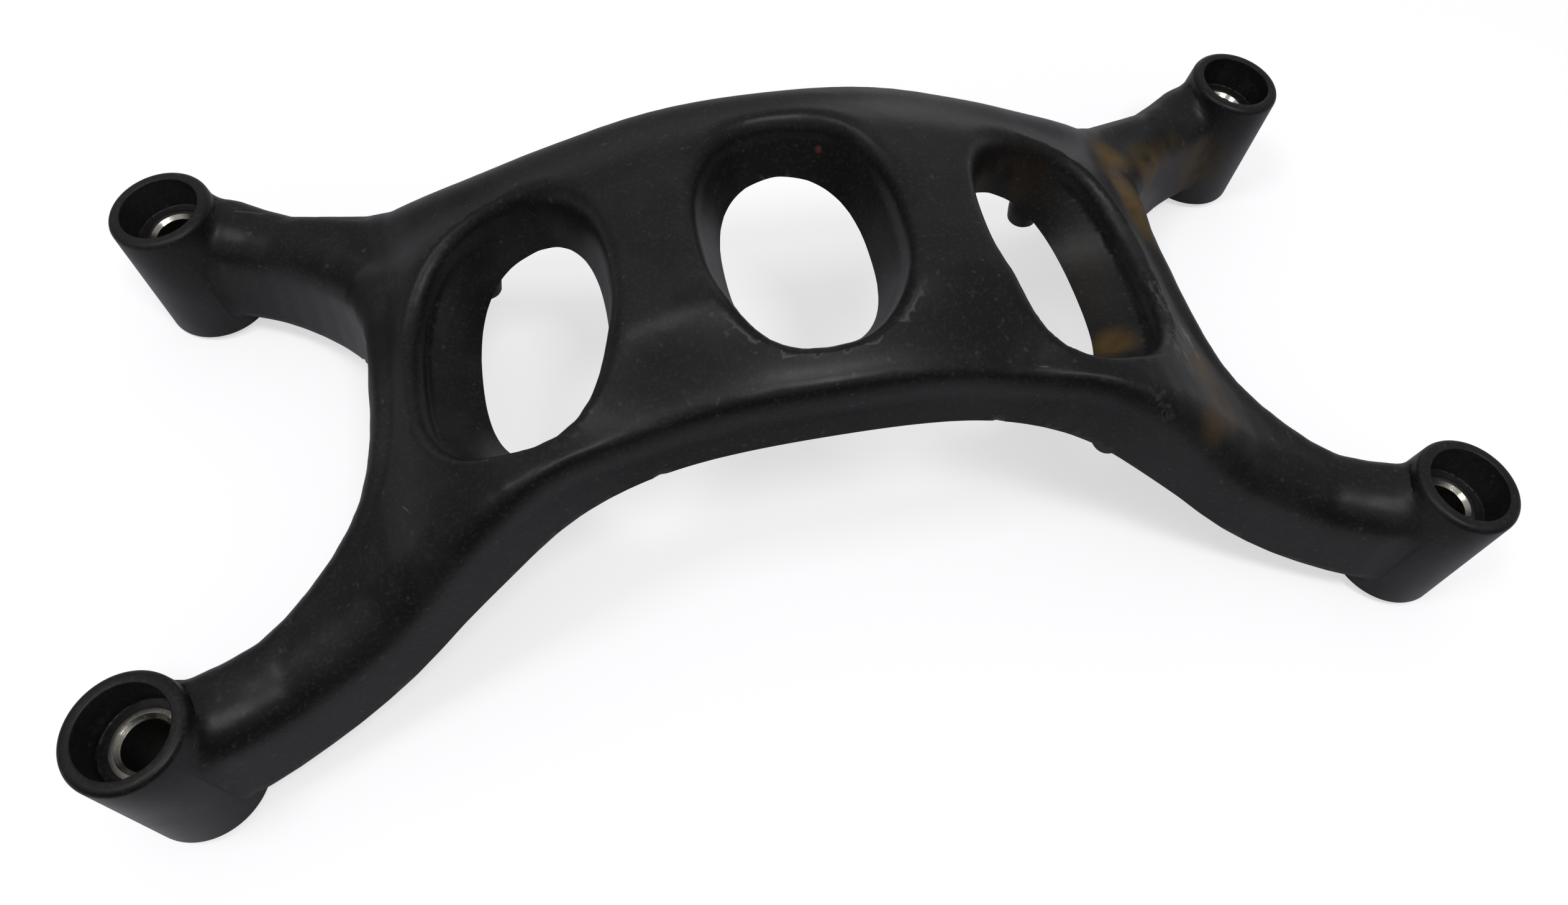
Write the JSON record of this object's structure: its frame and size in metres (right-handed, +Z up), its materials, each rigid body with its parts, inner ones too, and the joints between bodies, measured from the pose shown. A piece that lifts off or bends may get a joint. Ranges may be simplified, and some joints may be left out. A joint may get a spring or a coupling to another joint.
{
  "type": "fender bracket",
  "caption": "Arched moulded fender bracket with flared openings and four legs that end in counterbored bosses with steel sleeves.",
  "frame": {"origin": "midway between the four bolts, on the plane that the bosses stand on", "axes": "+X to the rider's side along the arch, +Y from the front edge to the rear edge, +Z up"},
  "size_m": [0.2538, 0.1298, 0.0652],
  "materials": {
    "moulded": "satin black moulded plastic, used",
    "steel": "plain steel"
  },
  "bodies": {
    "root": {"body": "moulded", "sleeve_lf": "steel", "sleeve_rf": "steel", "sleeve_lr": "steel", "sleeve_rr": "steel"}
  },
  "joints": []
}
